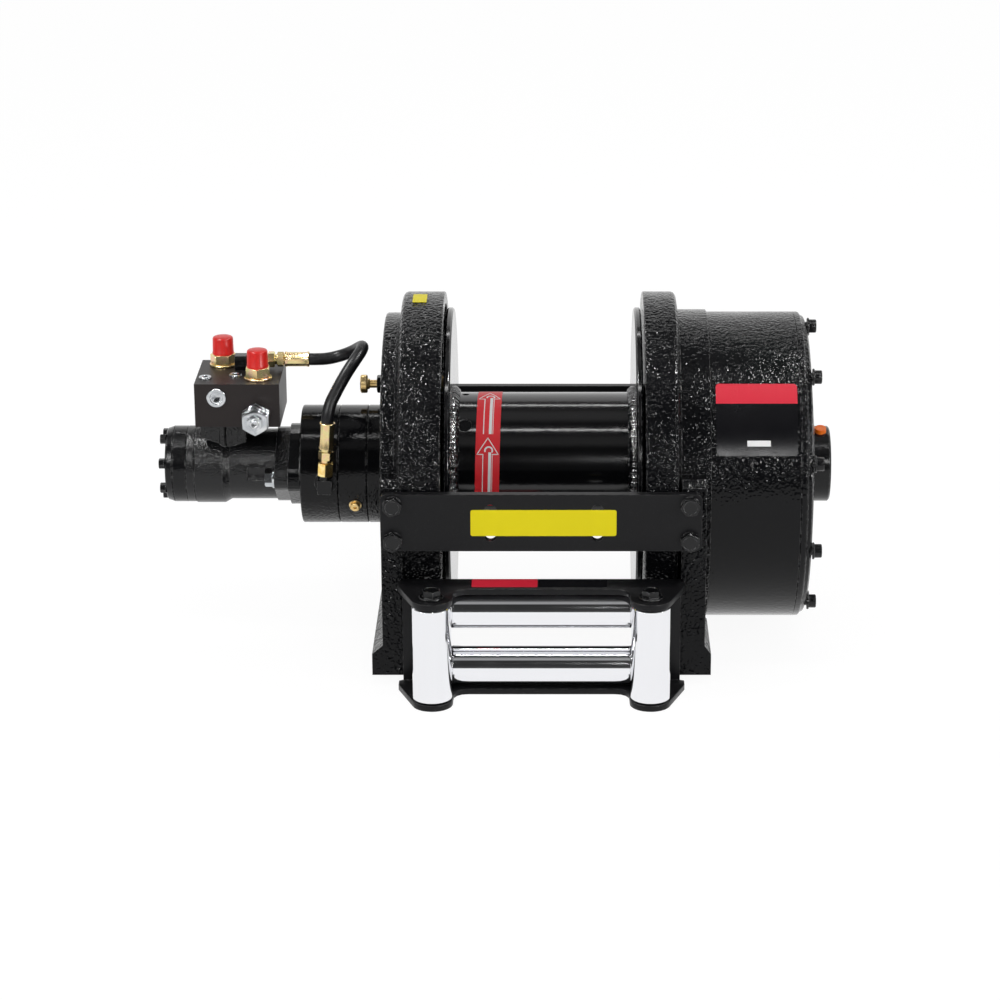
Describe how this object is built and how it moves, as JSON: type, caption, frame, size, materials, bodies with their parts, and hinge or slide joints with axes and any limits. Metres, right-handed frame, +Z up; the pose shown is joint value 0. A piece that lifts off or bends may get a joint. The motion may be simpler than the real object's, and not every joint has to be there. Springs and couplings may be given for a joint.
{
  "type": "hydraulic winch",
  "caption": "Planetary hydraulic winch with a gear motor and brake at one end, a planetary gear housing with an air clutch at the other, and a roller fairlead.",
  "frame": {"origin": "Centre of the foot bolt pattern on the underside of the feet", "axes": "+X along the drum axis from the motor to the gear housing, -Y the way the rope leaves, +Z up"},
  "size_m": [0.7985, 0.519, 0.4079],
  "materials": {
    "black_paint": "gloss",
    "satin_black": "satin",
    "machined_black": "satin",
    "chrome": "polished",
    "bright_zinc": "plated",
    "yellow_zinc": "plated",
    "brass": "machined",
    "red_cap": "gloss",
    "orange_plug": "gloss",
    "hose_rubber": "matt",
    "bronze": "machined",
    "machined_steel": "machined",
    "spring_steel": "oiled",
    "friction_lining": "sintered"
  },
  "bodies": {
    "frame": {"motor_end_cover": "black_paint", "motor_end_bolts": "satin_black", "gerotor_ring": "black_paint", "motor_body": "black_paint", "motor_mount_bolts": "bright_zinc", "valve_block": "machined_black", "relief_cartridge": "bright_zinc", "block_plugs": "bright_zinc", "port_adapters": "yellow_zinc", "port_caps": "red_cap", "brake_line_elbow": "satin_black", "hose_ends": "yellow_zinc", "brake_hose": "hose_rubber", "brake_port_elbow": "satin_black", "brake_housing": "black_paint", "brake_ring": "black_paint", "brake_back_plate": "black_paint", "bleed_screw": "brass", "brake_springs": "spring_steel", "brake_steel_plates": "machined_steel", "left_frame": "black_paint", "right_frame": "black_paint", "front_tie_plate": "satin_black", "rear_tie_plate": "satin_black", "tie_bolts": "satin_black", "drag_screw_nut": "satin_black", "drum_bushes": "bronze", "gear_housing": "black_paint", "end_cover": "black_paint", "cover_bolts": "satin_black", "clutch_cylinder": "black_paint", "air_port_plug": "orange_plug", "clutch_spring": "spring_steel", "fairlead_frame": "satin_black", "roller_bolts": "satin_black"},
    "drum": {"drum_barrel": "black_paint", "left_drum_flange": "black_paint", "right_drum_flange": "black_paint", "second_carrier": "machined_steel"},
    "first_stage_carrier": {"first_carrier": "machined_steel"},
    "input": {"input_shaft": "machined_steel", "motor_shaft": "machined_steel", "brake_hub": "machined_steel", "brake_friction_discs": "friction_lining", "first_sun": "machined_steel"},
    "dog": {"clutch_dog": "machined_steel"},
    "clutch": {"clutch_piston": "machined_steel"},
    "brake": {"brake_piston": "machined_steel"},
    "thumb_screw": {"drag_screw": "brass"},
    "shoe": {"drag_shoe": "bronze"},
    "left_guide": {"left_roller": "chrome"},
    "right_guide": {"right_roller": "chrome"},
    "upper_guide": {"upper_roller": "chrome"},
    "lower_guide": {"lower_roller": "chrome"},
    "first_gear_a": {"first_planet_a": "machined_steel"},
    "second_gear_a": {"second_planet_a": "machined_steel"},
    "first_gear_b": {"first_planet_b": "machined_steel"},
    "second_gear_b": {"second_planet_b": "machined_steel"},
    "first_gear_c": {"first_planet_c": "machined_steel"},
    "second_gear_c": {"second_planet_c": "machined_steel"}
  },
  "joints": [
    {"name": "drum_spin", "type": "hinge", "parent": "frame", "child": "drum", "pos_m": [0, 0, 0.19], "axis": [1, 0, 0], "continuous": true},
    {"name": "first_carrier_spin", "type": "hinge", "parent": "frame", "child": "first_stage_carrier", "pos_m": [0, 0, 0.19], "axis": [1, 0, 0], "continuous": true},
    {"name": "input_spin", "type": "hinge", "parent": "frame", "child": "input", "pos_m": [0, 0, 0.19], "axis": [1, 0, 0], "continuous": true},
    {"name": "second_planet_a_spin", "type": "hinge", "parent": "drum", "child": "second_gear_a", "pos_m": [0, 0, 0.28], "axis": [1, 0, 0], "continuous": true},
    {"name": "first_planet_a_spin", "type": "hinge", "parent": "first_stage_carrier", "child": "first_gear_a", "pos_m": [0, 0, 0.28], "axis": [1, 0, 0], "continuous": true},
    {"name": "second_planet_b_spin", "type": "hinge", "parent": "drum", "child": "second_gear_b", "pos_m": [0, -0.07794, 0.145], "axis": [1, 0, 0], "continuous": true},
    {"name": "first_planet_b_spin", "type": "hinge", "parent": "first_stage_carrier", "child": "first_gear_b", "pos_m": [0, -0.07794, 0.145], "axis": [1, 0, 0], "continuous": true},
    {"name": "second_planet_c_spin", "type": "hinge", "parent": "drum", "child": "second_gear_c", "pos_m": [0, 0.07794, 0.145], "axis": [1, 0, 0], "continuous": true},
    {"name": "first_planet_c_spin", "type": "hinge", "parent": "first_stage_carrier", "child": "first_gear_c", "pos_m": [0, 0.07794, 0.145], "axis": [1, 0, 0], "continuous": true},
    {"name": "clutch_release", "type": "slide", "parent": "frame", "child": "clutch", "axis": [1, 0, 0], "range_m": [0, 0.007], "stiffness_N_per_m": 4000, "springref_m": -0.015, "deforming": ["clutch_spring"]},
    {"name": "dog_slide", "type": "slide", "parent": "input", "child": "dog", "axis": [1, 0, 0], "range_m": [0, 0.007]},
    {"name": "brake_release", "type": "slide", "parent": "frame", "child": "brake", "axis": [-1, 0, 0], "range_m": [0, 0.0015], "stiffness_N_per_m": 20000, "springref_m": -0.02, "deforming": ["brake_springs"]},
    {"name": "drag_shoe_slide", "type": "slide", "parent": "frame", "child": "shoe", "axis": [1, 0, 0], "range_m": [0, 0.00167]},
    {"name": "drag_screw_turn", "type": "hinge", "parent": "frame", "child": "thumb_screw", "pos_m": [0, 0.01667, 0.28454], "axis": [1, 0, 0], "range_deg": [0, 480]},
    {"name": "left_roller_spin", "type": "hinge", "parent": "frame", "child": "left_guide", "pos_m": [-0.1243, -0.265, 0.05], "axis": [0, 0, 1], "continuous": true},
    {"name": "right_roller_spin", "type": "hinge", "parent": "frame", "child": "right_guide", "pos_m": [0.1243, -0.265, 0.05], "axis": [0, 0, 1], "continuous": true},
    {"name": "upper_roller_spin", "type": "hinge", "parent": "frame", "child": "upper_guide", "pos_m": [0, -0.219, 0.08715], "axis": [1, 0, 0], "continuous": true},
    {"name": "lower_roller_spin", "type": "hinge", "parent": "frame", "child": "lower_guide", "pos_m": [0, -0.219, 0.01815], "axis": [1, 0, 0], "continuous": true}
  ],
  "couplings": [
    {"joint": "first_carrier_spin", "follows": "drum_spin", "ratio": 6},
    {"joint": "input_spin", "follows": "drum_spin", "ratio": 36},
    {"joint": "second_planet_a_spin", "follows": "drum_spin", "ratio": -2.5},
    {"joint": "first_planet_a_spin", "follows": "drum_spin", "ratio": -15},
    {"joint": "second_planet_b_spin", "follows": "drum_spin", "ratio": -2.5},
    {"joint": "first_planet_b_spin", "follows": "drum_spin", "ratio": -15},
    {"joint": "second_planet_c_spin", "follows": "drum_spin", "ratio": -2.5},
    {"joint": "first_planet_c_spin", "follows": "drum_spin", "ratio": -15},
    {"joint": "dog_slide", "follows": "clutch_release", "ratio": 1},
    {"joint": "drag_screw_turn", "follows": "drag_shoe_slide", "rad_per_m": 5026.5}
  ]
}
